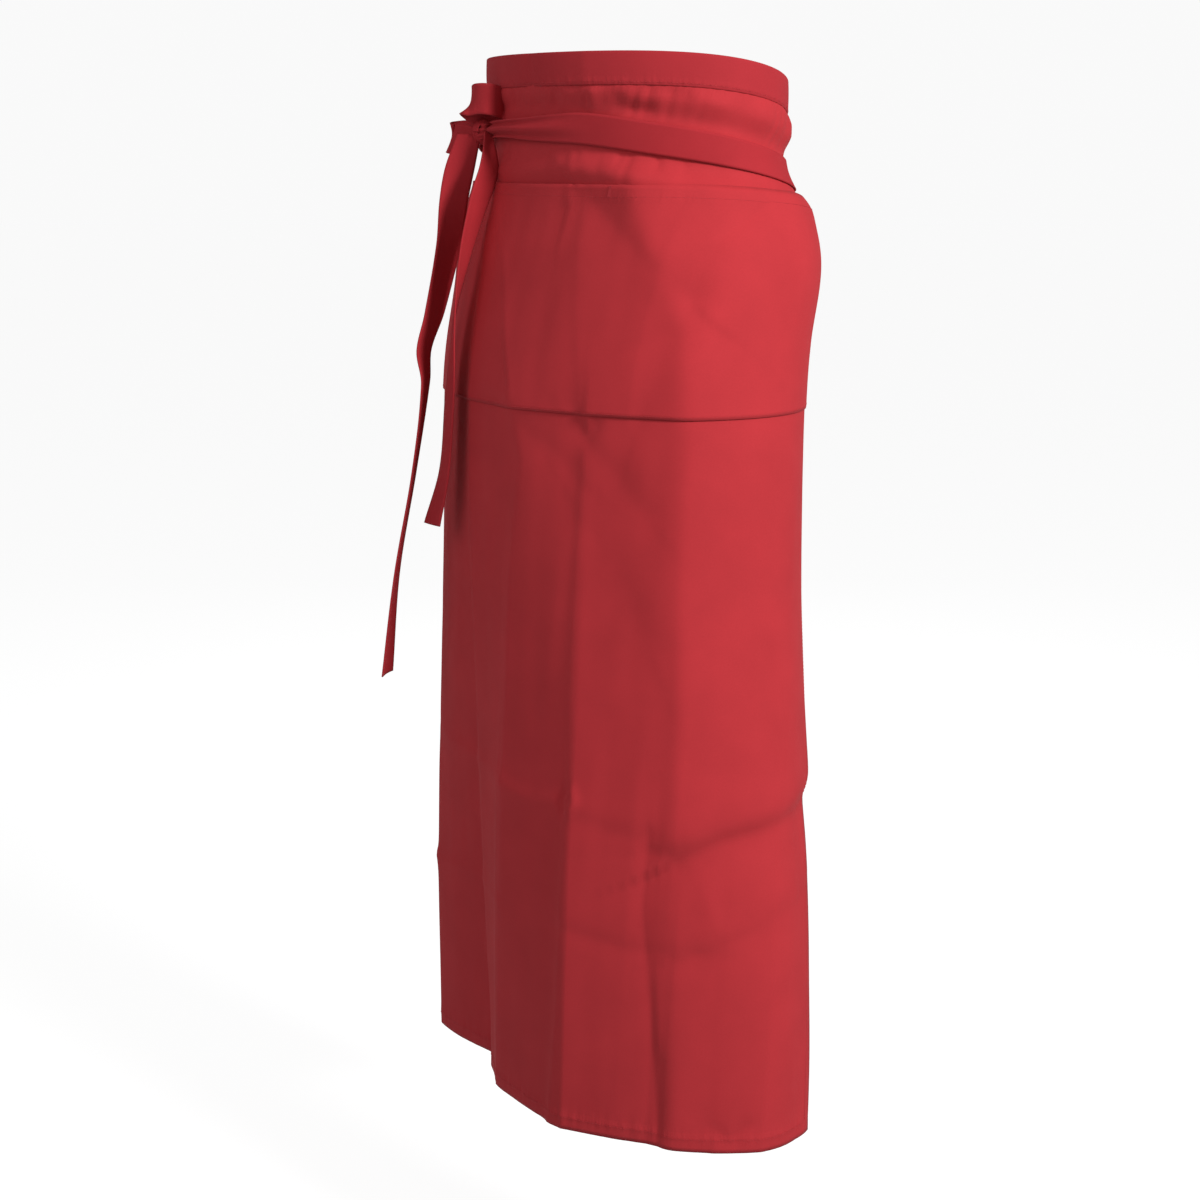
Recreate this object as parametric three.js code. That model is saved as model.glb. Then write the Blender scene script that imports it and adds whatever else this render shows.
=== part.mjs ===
import * as THREE from "three";
import { mergeVertices } from "three/addons/utils/BufferGeometryUtils.js";

// A long waist apron in the form it has when it is worn and tied. Millimetres, +Z up.
// The wearer faces -Y and has the left hand at +X. The origin is the centre of the waist,
// at half the height of the waistband.

// The cloth as it is cut and sewn
const apronWidth = 740;
const skirtLength = 865;
const clothWall = 1.2;
const hemHeight = 20;
const hemWall = 2;
const sideHem = 10;
const bandHeight = 26;
const bandWall = 3;
const pocketDrop = 76;
const pocketHeight = 180;
const pocketHem = 10;
const tapeWidth = 25;
const tapeWall = 1.6;
const seamGap = 0.3;
const restGap = 0.8;

// The body's rings that the cloth follows
const backGap = 48;
const hipGirth = 975;
const hemGirth = 1075;
const backDrop = 34;
const seatOut = 20;
const hipLean = 12;
const hemSwing = 60;

// The folds, the dent under the tapes and the puffs above it
const foldDepth = 26;
const foldStart = 0.4;
const cinchDepth = 5;
const cinchRim = 3;
const cinchFade = 14;
const cinchFrom = 0.06;
const cinchFull = 0.14;
const puffHeight = 3;
const puffRise = 12;
const puffFall = 14;
const puffStop = 4;
const puffCount = 14;
const puffSwing = 0.4;

// The tapes' way round
const tapeLap = 25;
const tieDrop = 66;
const tieCrossing = 1.3;
const bandLeave = [0.02, 0.14];
const bandPassed = 0.86;
const gatherRun = 120;
const gatherWidth = 0.5;

// The bow
const knotSide = 68;
const knotWidth = 30;
const knotHeight = 26;
const knotDepth = 20;
const knotWaist = 0.12;
const upperLoop = 34;
const upperBulge = 15;
const lowerLoop = 21;
const lowerBulge = 9;
const loopRoot = 1.9;
const loopRootWidth = 0.3;
const loopOpened = 0.7;
const longEnd = 465;
const shortEnd = 326;

// How finely the solids are cut
const columnStep = 15;
const rowStep = { yoke: 9.5, pocket: 34, skirt: 48 };
const tapeStep = 12;
const loopSteps = 24;
const knotSides = 20;
const knotRings = 12;
const turnPasses = 8;

// The finish of the cloth and of the tape
const panelRed = 0xc73f45;
const bandRed = 0xb83a41;
const tapeRed = 0xb5363d;
const clothRoughness = 0.82;

const halfWidth = apronWidth / 2;
const waistGirth = apronWidth + backGap;
const tapeRest = clothWall / 2 + restGap + tapeWall / 2;
const tapeOnBand = bandWall / 2 + seamGap + tapeWall / 2;
const tapeOnTape = tapeOnBand + 2 * restGap;
const smoothstep = THREE.MathUtils.smoothstep;
const lerp = THREE.MathUtils.lerp;

// Rings from the seam to the hem. at: share of the skirt's length. hip: from the waist's girth
// to the hips'. hem: from the hips' to the hem's. flat: depth by width. seat: how far the ring
// stands back. lean: how far it stands to the right hand and to the front. tilt: share of the
// drop at the back. swing: how far the cloth has turned. take: cloth that shows per length.
const rings = [
  { at: 0.0, hip: 0.0, hem: 0.0, flat: 0.73, seat: 0.0, lean: 0.0, tilt: 1.0, swing: 0.0, take: 1.0 },
  { at: 0.055, hip: 0.18, hem: 0.0, flat: 0.715, seat: 0.5, lean: 0.5, tilt: 0.85, swing: 0.14, take: 1.0 },
  { at: 0.094, hip: 0.34, hem: 0.0, flat: 0.7, seat: 1.0, lean: 0.4, tilt: 0.7, swing: 0.3, take: 1.0 },
  { at: 0.15, hip: 0.78, hem: 0.0, flat: 0.665, seat: 0.9, lean: 0.6, tilt: 0.5, swing: 0.36, take: 1.0 },
  { at: 0.23, hip: 0.94, hem: 0.0, flat: 0.655, seat: 0.45, lean: 0.9, tilt: 0.2, swing: 0.4, take: 1.0 },
  { at: 0.3, hip: 1.0, hem: 0.0, flat: 0.65, seat: 0.2, lean: 0.95, tilt: 0.0, swing: 0.42, take: 1.0 },
  { at: 0.5, hip: 1.0, hem: 0.15, flat: 0.625, seat: 0.1, lean: 1.0, tilt: 0.0, swing: 0.6, take: 0.99 },
  { at: 0.75, hip: 1.0, hem: 0.75, flat: 0.58, seat: 0.0, lean: 0.85, tilt: 0.0, swing: 0.8, take: 0.97 },
  { at: 1.0, hip: 1.0, hem: 1.0, flat: 0.54, seat: 0.0, lean: 0.7, tilt: 0.0, swing: 1.0, take: 0.96 },
];

// Pressed creases and drape folds. top, foot: the crease's place at the pocket's foot and at the
// hem, in shares of the half width. right, left: how wide its flanks are, in the same shares.
// depth: share of the fold depth, outward above zero. grow: how late it opens towards the hem.
const folds = [
  { name: "back_right", top: -0.78, foot: -0.78, right: 0.16, left: 0.16, depth: 0.4, grow: 1.2 },
  { name: "side_right", top: -0.5, foot: -0.5, right: 0.12, left: 0.2, depth: -0.35, grow: 1.2 },
  { name: "front_valley", top: -0.07, foot: -0.07, right: 0.23, left: 0.175, depth: -1.0, grow: 1.5 },
  { name: "front_ridge", top: 0.327, foot: 0.385, right: 0.25, left: 0.2, depth: 0.66, grow: 1.2 },
  { name: "left_ridge", top: 0.613, foot: 0.613, right: 0.1, left: 0.12, depth: -0.16, grow: 1.2 },
  { name: "side_left", top: 0.84, foot: 0.84, right: 0.12, left: 0.1, depth: 0.16, grow: 1.4 },
];
const foldsFrom = (pocketDrop + pocketHeight * foldStart) / skirtLength;

// The tapes' drop below the waistband's middle, from where a tape has passed the other band end
// to the front. way: share of that run. drop: share of the tie's drop.
const tieRun = [
  { way: 0.0, drop: 0.5 },
  { way: 0.1, drop: 0.8 },
  { way: 0.19, drop: 0.97 },
  { way: 0.3, drop: 1.0 },
  { way: 0.45, drop: 0.96 },
  { way: 0.68, drop: 0.82 },
  { way: 0.86, drop: 0.7 },
  { way: 1.0, drop: 0.7 },
];

// The hanging ends from the knot down. way, left, front, down: shares of the end's length.
// heading: the way the tape's width points, in degrees from +X. wide: share of its width.
const longEndRows = [
  { way: 0.0, left: -0.024, front: 0.01, down: 0.0, heading: 45, wide: 0.5 },
  { way: 0.06, left: -0.052, front: 0.046, down: 0.058, heading: 60, wide: 1.0 },
  { way: 0.2, left: -0.07, front: 0.064, down: 0.198, heading: 90, wide: 1.0 },
  { way: 0.3, left: -0.073, front: 0.084, down: 0.296, heading: 104, wide: 1.0 },
  { way: 0.37, left: -0.087, front: 0.099, down: 0.363, heading: 116, wide: 1.0 },
  { way: 0.43, left: -0.09, front: 0.095, down: 0.423, heading: 129, wide: 1.0 },
  { way: 0.6, left: -0.114, front: 0.108, down: 0.592, heading: 137, wide: 1.0 },
  { way: 0.8, left: -0.147, front: 0.129, down: 0.788, heading: 135, wide: 1.0 },
  { way: 1.0, left: -0.174, front: 0.137, down: 0.985, heading: 124, wide: 1.0 },
];
const shortEndRows = [
  { way: 0.0, left: 0.03, front: 0.006, down: 0.0, heading: 105, wide: 0.5 },
  { way: 0.08, left: 0.052, front: 0.032, down: 0.075, heading: 104, wide: 0.7 },
  { way: 0.16, left: 0.056, front: 0.066, down: 0.15, heading: 106, wide: 1.0 },
  { way: 0.28, left: 0.045, front: 0.09, down: 0.268, heading: 120, wide: 1.0 },
  { way: 0.45, left: 0.02, front: 0.11, down: 0.435, heading: 144, wide: 1.0 },
  { way: 0.65, left: 0.003, front: 0.117, down: 0.634, heading: 160, wide: 1.0 },
  { way: 0.85, left: -0.018, front: 0.123, down: 0.832, heading: 162, wide: 1.0 },
  { way: 1.0, left: -0.053, front: 0.14, down: 0.978, heading: 176, wide: 1.0 },
];

// A smooth line through one column of a table
function column(rows, place, name) {
  const places = rows.map((row) => row[place]);
  const values = rows.map((row) => row[name]);
  const line = new THREE.CubicInterpolant(places, values, 1);
  return (where) => line.evaluate(where)[0];
}

const ring = {};
for (const name of ["hip", "hem", "flat", "seat", "lean", "tilt", "swing", "take"]) {
  ring[name] = column(rings, "at", name);
}
const tieDropAlong = column(tieRun, "way", "drop");

function girthAt(level) {
  const at = level / skirtLength;
  const hips = lerp(waistGirth, hipGirth, ring.hip(at));
  return hips + (hemGirth - hipGirth) * ring.hem(at);
}

// The angle from the front centre that cuts off a share of an oval ring
function turnAt(share, flat) {
  const swell = (1 - flat) / (1 + flat) / 2;
  let turn = share * 2 * Math.PI;
  for (let pass = 0; pass < turnPasses; pass += 1) {
    turn = share * 2 * Math.PI - swell * Math.sin(2 * turn);
  }
  return turn;
}

// A point on the body's ring. share: part of the ring from the front centre, to the left hand
// above zero. level: how far below the waistband's lower edge. off: how far outside the ring.
function bodyPoint(share, level, off) {
  const at = level / skirtLength;
  const flat = ring.flat(at);
  const turn = turnAt(share, flat);
  const wide = girthAt(level) / Math.PI / (1 + flat);
  const deep = wide * flat;
  const out = new THREE.Vector2(Math.sin(turn) / wide, -Math.cos(turn) / deep).normalize();
  const behind = (1 - Math.cos(turn)) / 2;
  const lean = hipLean * ring.lean(at);
  return new THREE.Vector3(
    wide * Math.sin(turn) + out.x * off - lean,
    seatOut * ring.seat(at) - deep * Math.cos(turn) + out.y * off - lean,
    -bandHeight / 2 - level - backDrop * ring.tilt(at) * behind * behind,
  );
}

// Where the tape's middle runs over a place on the ring
function tieLevel(share) {
  const fromBack = 0.5 - Math.abs(share);
  const gapShare = backGap / 2 / waistGirth;
  const way = (fromBack - gapShare) / (0.5 - gapShare);
  return tieDrop * tieDropAlong(Math.max(way, 0)) - bandHeight / 2;
}

// The dent that the tied tapes press into the cloth: full at the front, none at the band's ends
function cinchAt(share) {
  return cinchDepth * smoothstep(0.5 - Math.abs(share), cinchFrom, cinchFull);
}

function dentAt(share, level) {
  const near = Math.abs(level - tieLevel(share)) - tapeWidth / 2 - restGap;
  return cinchAt(share) * (1 - smoothstep(near, cinchRim, cinchRim + cinchFade));
}

function foldPlace(fold, level) {
  return halfWidth * lerp(fold.top, fold.foot, smoothstep(level / skirtLength, foldsFrom, 1));
}

function foldAt(across, level) {
  const opened = smoothstep(level / skirtLength, foldsFrom, 1);
  let height = 0;
  for (const fold of folds) {
    const beside = (across - foldPlace(fold, level)) / halfWidth;
    const reach = beside < 0 ? fold.right : fold.left;
    const flank = Math.max(0, 1 - Math.abs(beside) / reach);
    height += foldDepth * fold.depth * flank * Math.pow(opened, fold.grow);
  }
  return height;
}

// Soft puffs between the waistband and the tapes
function puffAt(across, share, level) {
  const tapeTop = tieLevel(share) - tapeWidth / 2 - restGap;
  const crown = smoothstep(level, 0, puffRise) * (1 - smoothstep(level, tapeTop - puffFall, tapeTop - puffStop));
  const wave = Math.cos((across / apronWidth) * puffCount * 2 * Math.PI);
  return puffHeight * crown * (1 - puffSwing + puffSwing * wave);
}

// A point of the panel's middle surface. across: place on the flat cloth from its centre line.
function clothPoint(across, level) {
  const at = level / skirtLength;
  const arc = across * ring.take(at) - hemSwing * ring.swing(at);
  const share = arc / girthAt(level);
  const off = foldAt(across, level) + puffAt(across, share, level) - dentAt(share, level);
  return bodyPoint(share, level, off);
}

// A closed piece of cloth from a grid of middle points. outward, inward: how far its two faces
// lie from the middle at a row and a column. Rows run down and columns to the left hand.
function slab(name, grid, outward, inward, material) {
  const rowCount = grid.length;
  const columnCount = grid[0].length;
  const faces = [[], []];
  for (let row = 0; row < rowCount; row += 1) {
    for (let col = 0; col < columnCount; col += 1) {
      const above = grid[Math.max(row - 1, 0)][col];
      const below = grid[Math.min(row + 1, rowCount - 1)][col];
      const before = grid[row][Math.max(col - 1, 0)];
      const after = grid[row][Math.min(col + 1, columnCount - 1)];
      const down = below.clone().sub(above);
      const side = after.clone().sub(before);
      const normal = down.cross(side).normalize();
      const point = grid[row][col];
      faces[0].push(point.clone().addScaledVector(normal, outward(row, col)));
      faces[1].push(point.clone().addScaledVector(normal, -inward(row, col)));
    }
  }
  const positions = [];
  const corner = (face, row, col) => faces[face][row * columnCount + col];
  const quad = (a, b, c, d) => {
    for (const point of [a, b, c, a, c, d]) {
      positions.push(point.x, point.y, point.z);
    }
  };
  const lastRow = rowCount - 1;
  const lastCol = columnCount - 1;
  for (let row = 0; row < lastRow; row += 1) {
    for (let col = 0; col < lastCol; col += 1) {
      quad(corner(0, row, col), corner(0, row + 1, col), corner(0, row + 1, col + 1), corner(0, row, col + 1));
      quad(corner(1, row, col), corner(1, row, col + 1), corner(1, row + 1, col + 1), corner(1, row + 1, col));
    }
  }
  for (let col = 0; col < lastCol; col += 1) {
    quad(corner(0, 0, col), corner(0, 0, col + 1), corner(1, 0, col + 1), corner(1, 0, col));
    quad(corner(0, lastRow, col + 1), corner(0, lastRow, col), corner(1, lastRow, col), corner(1, lastRow, col + 1));
  }
  for (let row = 0; row < lastRow; row += 1) {
    quad(corner(0, row + 1, 0), corner(0, row, 0), corner(1, row, 0), corner(1, row + 1, 0));
    quad(corner(0, row, lastCol), corner(0, row + 1, lastCol), corner(1, row + 1, lastCol), corner(1, row, lastCol));
  }
  const geometry = new THREE.BufferGeometry();
  geometry.setAttribute("position", new THREE.Float32BufferAttribute(positions, 3));
  const mesh = new THREE.Mesh(mergeVertices(geometry), material);
  mesh.name = name;
  return mesh;
}

function cloth(colour) {
  return new THREE.MeshStandardMaterial({ color: colour, roughness: clothRoughness, metalness: 0 });
}

function steps(from, to, size) {
  const count = Math.max(1, Math.round((to - from) / size));
  return Array.from({ length: count }, (_, index) => lerp(from, to, index / count));
}

// The grid that the panel and its pocket share, so that they lie face to face
const pocketFoot = pocketDrop + pocketHeight;
const hemTop = skirtLength - hemHeight;
const levels = [
  ...steps(restGap, pocketDrop, rowStep.yoke),
  pocketDrop,
  ...steps(pocketDrop + pocketHem, pocketFoot, rowStep.pocket),
  ...steps(pocketFoot, hemTop, rowStep.skirt),
  hemTop,
  skirtLength,
];

// The flat places of one level's columns: side hems, then even steps between the creases
function columnsAt(level) {
  const creases = folds.map((fold) => [foldPlace(fold, 0), foldPlace(fold, level)]);
  const edges = [
    [sideHem - halfWidth, sideHem - halfWidth],
    ...creases,
    [halfWidth - sideHem, halfWidth - sideHem],
  ].sort((one, other) => one[0] - other[0]);
  const places = [-halfWidth];
  for (let index = 1; index < edges.length; index += 1) {
    const count = Math.max(1, Math.round((edges[index][0] - edges[index - 1][0]) / columnStep));
    for (let step = 0; step < count; step += 1) {
      places.push(lerp(edges[index - 1][1], edges[index][1], step / count));
    }
  }
  return [...places, halfWidth - sideHem, halfWidth];
}

function makeSkirt() {
  const grid = levels.map((level) => columnsAt(level).map((across) => clothPoint(across, level)));
  const lastCol = grid[0].length - 1;
  const isHem = (row, col) => levels[row] >= hemTop || col <= 1 || col >= lastCol - 1;
  const inward = (row, col) => (isHem(row, col) ? hemWall : clothWall) - clothWall / 2;
  return slab("skirt_panel", grid, () => clothWall / 2, inward, cloth(panelRed));
}

function makePocket() {
  const rows = levels.filter((level) => level >= pocketDrop && level <= pocketFoot);
  const grid = rows.map((level) => columnsAt(level).slice(1, -1).map((across) => clothPoint(across, level)));
  const inner = clothWall / 2 + seamGap;
  const outward = (row) => inner + (rows[row] <= pocketDrop + pocketHem ? hemWall : clothWall);
  return slab("pocket_panel", grid, outward, () => -inner, cloth(panelRed));
}

function makeWaistband() {
  const shares = [...steps(-halfWidth, halfWidth, columnStep), halfWidth].map((arc) => arc / waistGirth);
  const grid = [-bandHeight, 0].map((level) => shares.map((share) => bodyPoint(share, level, 0)));
  const wall = () => bandWall / 2;
  return slab("waistband", grid, wall, wall, cloth(bandRed));
}

// The middle of the knot, just outside the dented cloth
const knotShare = -knotSide / waistGirth;
const knotOut = clothWall / 2 + restGap + knotDepth / 2;
const knotMiddle = bodyPoint(knotShare, tieLevel(knotShare), knotOut - cinchAt(knotShare));

// One tape from its lap on a band end, across the open back and round to the knot. hand is 1 for
// the tape of the left band end, which runs under the other one at the back.
function makeTie(name, hand, crossing) {
  const lapShare = (halfWidth - tapeLap) / waistGirth;
  const gapShare = backGap / waistGirth;
  const startShare = halfWidth / waistGirth;
  const gatherShare = gatherRun / waistGirth;
  const knotEdge = (knotWidth / 2 - seamGap) / girthAt(tieLevel(knotShare));
  const endShare = 1 + hand * knotShare - knotEdge;
  const gapEnd = startShare + gapShare;
  const shares = [
    ...steps(lapShare, startShare, tapeStep / waistGirth),
    ...steps(startShare, gapEnd, tapeStep / waistGirth / 2),
    ...steps(gapEnd, endShare, tapeStep / waistGirth),
    endShare,
  ];
  const lift = knotOut - tapeRest;
  const passedDrop = tieRun[0].drop;
  const stations = shares.map((share) => {
    const across = THREE.MathUtils.clamp((share - startShare) / gapShare, 0, 1);
    const nearKnot = smoothstep(share, endShare - gatherShare, endShare);
    const around = ((share + 0.5) % 1) - 0.5;
    const passed = share > gapEnd;
    const drop = passed ? tieLevel(around) + bandHeight / 2 : passedDrop * tieDrop * across ** tieCrossing;
    const onGap = lerp(tapeOnBand, crossing, smoothstep(across, ...bandLeave));
    const off = lerp(onGap, tapeRest, smoothstep(across, bandPassed, 1)) + lift * nearKnot;
    const dent = passed ? cinchAt(around) : 0;
    const half = (tapeWidth / 2) * lerp(1, gatherWidth, nearKnot);
    return { share: hand * share, level: drop - bandHeight / 2, half, off: off - dent };
  });
  if (hand < 0) {
    stations.reverse();
  }
  const grid = [-1, 1].map((edge) =>
    stations.map(({ share, level, half, off }) => bodyPoint(share, level + edge * half, off)),
  );
  const wall = () => tapeWall / 2;
  return slab(name, grid, wall, wall, cloth(tapeRed));
}

const knotSize = new THREE.Vector3(knotWidth / 2, knotDepth / 2, knotHeight / 2);

// How far the knot's pillow is drawn in at a place on its unit ball
function knotDrawn(point) {
  return 1 - knotWaist * (1 - point.x ** 2);
}

// A tight knot: a pillow with a waist where the tape is drawn round it
function makeKnot() {
  const ball = new THREE.SphereGeometry(1, knotSides, knotRings);
  const bare = ball.deleteAttribute("normal").deleteAttribute("uv");
  const places = bare.attributes.position;
  for (let index = 0; index < places.count; index += 1) {
    const point = new THREE.Vector3().fromBufferAttribute(places, index);
    point.multiplyScalar(knotDrawn(point)).multiply(knotSize).add(knotMiddle);
    places.setXYZ(index, point.x, point.y, point.z);
  }
  const mesh = new THREE.Mesh(mergeVertices(bare), cloth(tapeRed));
  mesh.name = "bow_knot";
  return mesh;
}

// Where a piece that leaves the knot in a direction starts
function knotSkin(direction) {
  const place = direction.clone().divide(knotSize).normalize();
  const reach = place.clone().multiply(knotSize).length() * knotDrawn(place);
  return direction.clone().normalize().multiplyScalar(reach + restGap + seamGap);
}

// One loop of the bow. outwards: where it points. The tape's width points up as far as it can.
function makeLoop(name, outwards, length, bulge) {
  const along = outwards.clone().normalize();
  const up = new THREE.Vector3(0, 0, 1);
  const width = up.addScaledVector(along, -along.z).normalize();
  const across = along.clone().cross(width);
  const start = knotSkin(along).length() + seamGap;
  const stations = Array.from({ length: loopSteps + 1 }, (_, index) => {
    const way = index / loopSteps;
    const opened = Math.sin(Math.PI * way);
    const reach = start + length * opened ** 2;
    const aside = loopRoot * Math.cos(Math.PI * way) + bulge * Math.sin(2 * Math.PI * way) * opened;
    const middle = knotMiddle.clone().addScaledVector(along, reach).addScaledVector(across, aside);
    return { middle, half: (tapeWidth / 2) * lerp(loopRootWidth, 1, smoothstep(opened, 0, loopOpened)) };
  });
  const grid = stations.map(({ middle, half }) =>
    [-1, 1].map((edge) => middle.clone().addScaledVector(width, edge * half)),
  );
  const wall = () => tapeWall / 2;
  return slab(name, grid, wall, wall, cloth(tapeRed));
}

// One hanging end of the bow, from its table
function makeEnd(name, rows, length) {
  const path = {};
  for (const key of ["left", "front", "down", "heading", "wide"]) {
    path[key] = column(rows, "way", key);
  }
  const first = new THREE.Vector3(rows[0].left, -rows[0].front, -rows[0].down).multiplyScalar(length);
  const toSkin = knotSkin(new THREE.Vector3(first.x, first.y, -knotHeight)).sub(first);
  const ways = [...steps(0, 1, tapeStep / length), 1];
  const grid = ways.map((way) => {
    const middle = new THREE.Vector3(path.left(way), -path.front(way), -path.down(way));
    middle.multiplyScalar(length).add(toSkin).add(knotMiddle);
    const heading = THREE.MathUtils.degToRad(path.heading(way));
    const width = new THREE.Vector3(Math.cos(heading), Math.sin(heading), 0);
    const half = (tapeWidth / 2) * path.wide(way);
    return [-1, 1].map((edge) => middle.clone().addScaledVector(width, edge * half));
  });
  const wall = () => tapeWall / 2;
  return slab(name, grid, wall, wall, cloth(tapeRed));
}

const upperOutwards = new THREE.Vector3(0.56, -0.53, 0.66);
const lowerOutwards = new THREE.Vector3(-0.9, -0.29, -0.3);

const apron = new THREE.Group();
apron.add(
  makeSkirt(),
  makeWaistband(),
  makePocket(),
  makeTie("tie_left", 1, tapeWall / 2),
  makeTie("tie_right", -1, tapeOnTape),
  makeKnot(),
  makeLoop("bow_loop_upper", upperOutwards, upperLoop, upperBulge),
  makeLoop("bow_loop_lower", lowerOutwards, lowerLoop, lowerBulge),
  makeEnd("tie_end_long", longEndRows, longEnd),
  makeEnd("tie_end_short", shortEndRows, shortEnd),
);

export default apron;
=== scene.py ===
import math

import bmesh
import bpy
import numpy as np
from mathutils import Matrix, Vector, noise


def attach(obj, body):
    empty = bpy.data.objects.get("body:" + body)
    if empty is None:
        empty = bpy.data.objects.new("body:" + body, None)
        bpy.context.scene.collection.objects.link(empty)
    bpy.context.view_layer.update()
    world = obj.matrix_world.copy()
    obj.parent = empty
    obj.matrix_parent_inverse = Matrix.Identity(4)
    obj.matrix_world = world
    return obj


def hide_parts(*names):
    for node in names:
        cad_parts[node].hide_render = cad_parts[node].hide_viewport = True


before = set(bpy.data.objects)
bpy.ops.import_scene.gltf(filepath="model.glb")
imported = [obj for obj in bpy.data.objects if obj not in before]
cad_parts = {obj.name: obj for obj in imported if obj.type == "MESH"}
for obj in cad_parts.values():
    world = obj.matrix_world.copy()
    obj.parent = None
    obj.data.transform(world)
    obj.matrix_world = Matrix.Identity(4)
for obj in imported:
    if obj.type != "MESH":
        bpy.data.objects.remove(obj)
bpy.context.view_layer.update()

# The view: a lens of about 62 mm a little below the waist, about 1.8 m off, looking half from the
# front and half from the wearer's left, and slightly down.
photo_place = (1.3455, -1.1662, -0.064)
photo_turn = math.radians(50)
photo_pitch = math.radians(12.2)
photo_focal_share = 2074 / 1200
camera_data = bpy.data.cameras.new("photo_camera")
camera_data.sensor_width = 36
camera_data.lens = camera_data.sensor_width * photo_focal_share
camera_data.clip_end = 30
camera = bpy.data.objects.new("photo_camera", camera_data)
bpy.context.scene.collection.objects.link(camera)
camera.location = photo_place
camera.rotation_euler = (math.pi / 2 - photo_pitch, 0, photo_turn)
bpy.context.scene.camera = camera

# The panel: one long piece of red cotton twill, cut as a rectangle and hemmed below and at both
# sides. It hangs from the waistband round the front of the body and stays open at the back. It
# was folded flat in its packet, so sharp pressed creases still run down and across it.
panel_width = 0.740
skirt_length = 0.865
cloth_wall = 0.0012
hem_height = 0.012
side_hem = 0.010
band_height = 0.026
band_wall = 0.003
back_gap = 0.048
hip_girth = 0.975
hem_girth = 1.075
back_drop = 0.034
seat_out = 0.020
hip_lean = 0.012
hem_swing = 0.060
pocket_drop = 0.076
pocket_height = 0.180
tape_width = 0.025
tape_wall = 0.0016
rest_gap = 0.0008
tie_drop = 0.066
half_width = panel_width / 2
waist_girth = panel_width + back_gap
pocket_foot = pocket_drop + pocket_height
hem_top = skirt_length - hem_height

# at: share of the skirt's length; hip, hem: how much of the way to that girth; flat: depth by
# width; seat: how far back; lean: how far right and forward; tilt: share of the drop at the
# back; swing: turn; take: cloth used
ring_columns = ("at", "hip", "hem", "flat", "seat", "lean", "tilt", "swing", "take")
ring_rows = [
    (0.0, 0.0, 0.0, 0.73, 0.0, 0.0, 1.0, 0.0, 1.0),
    (0.055, 0.18, 0.0, 0.715, 0.5, 0.5, 0.85, 0.14, 1.0),
    (0.094, 0.34, 0.0, 0.7, 1.0, 0.4, 0.7, 0.3, 1.0),
    (0.15, 0.78, 0.0, 0.665, 0.9, 0.6, 0.5, 0.36, 1.0),
    (0.23, 0.94, 0.0, 0.655, 0.45, 0.9, 0.2, 0.4, 1.0),
    (0.3, 1.0, 0.0, 0.65, 0.2, 0.95, 0.0, 0.42, 1.0),
    (0.5, 1.0, 0.15, 0.625, 0.1, 1.0, 0.0, 0.6, 0.99),
    (0.75, 1.0, 0.75, 0.58, 0.0, 0.85, 0.0, 0.8, 0.97),
    (1.0, 1.0, 1.0, 0.54, 0.0, 0.7, 0.0, 1.0, 0.96),
]
# top, foot: place at the pocket's foot and at the hem, in half widths; right, left: flanks;
# depth: share of the fold depth; grow: how late it opens
fold_depth = 0.026
fold_columns = ("top", "foot", "right", "left", "depth", "grow")
fold_rows = {
    "back_right": (-0.78, -0.78, 0.16, 0.16, 0.4, 1.2),
    "side_right": (-0.5, -0.5, 0.12, 0.2, -0.35, 1.2),
    "front_valley": (-0.07, -0.07, 0.23, 0.175, -1.0, 1.5),
    "front_ridge": (0.327, 0.385, 0.25, 0.2, 0.66, 1.2),
    "left_ridge": (0.613, 0.613, 0.1, 0.12, -0.16, 1.2),
    "side_left": (0.84, 0.84, 0.12, 0.1, 0.16, 1.4),
}
folds_from = (pocket_drop + pocket_height * 0.4) / skirt_length
# along a tape from the panel's back edge, 0, to the front, 1: share of its drop below the band
tie_run = [(0.0, 0.5), (0.1, 0.8), (0.19, 0.97), (0.3, 1.0), (0.45, 0.96), (0.68, 0.82), (0.86, 0.7),
           (1.0, 0.7)]
cinch_depth = 0.005
cinch_fade = 0.020
puff_height = 0.003
puff_count = 14


def smooth(value, low, high):
    """An eased step from 0 at low to 1 at high."""
    way = np.clip((value - low) / (high - low), 0, 1)
    return way * way * (3 - 2 * way)


def line_through(places, values):
    """A smooth line through a table's column, as a function of the place."""
    places, values = np.array(places, float), np.array(values, float)
    slopes = np.empty_like(values)
    slopes[1:-1] = (values[2:] - values[:-2]) / (places[2:] - places[:-2])
    slopes[0] = (values[1] - values[0]) / (places[1] - places[0])
    slopes[-1] = (values[-1] - values[-2]) / (places[-1] - places[-2])

    def at(where):
        where = np.clip(where, places[0], places[-1])
        index = np.clip(np.searchsorted(places, where) - 1, 0, len(places) - 2)
        step = places[index + 1] - places[index]
        t = (where - places[index]) / step
        rise = values[index + 1] - values[index]
        first, last = slopes[index] * step, slopes[index + 1] * step
        bend = 3 * rise - 2 * first - last + t * (first + last - 2 * rise)
        return values[index] + t * (first + t * bend)

    return at


ring = {
    name: line_through([row[0] for row in ring_rows], [row[column] for row in ring_rows])
    for column, name in enumerate(ring_columns)
}
folds = [dict(zip(fold_columns, row)) for row in fold_rows.values()]
tie_drop_along = line_through([way for way, _ in tie_run], [drop for _, drop in tie_run])


def girth_at(level):
    """How far it is round the body at a level below the band."""
    at = level / skirt_length
    hips = waist_girth + (hip_girth - waist_girth) * ring["hip"](at)
    return hips + (hem_girth - hip_girth) * ring["hem"](at)


oval_rounds = 8


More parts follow.
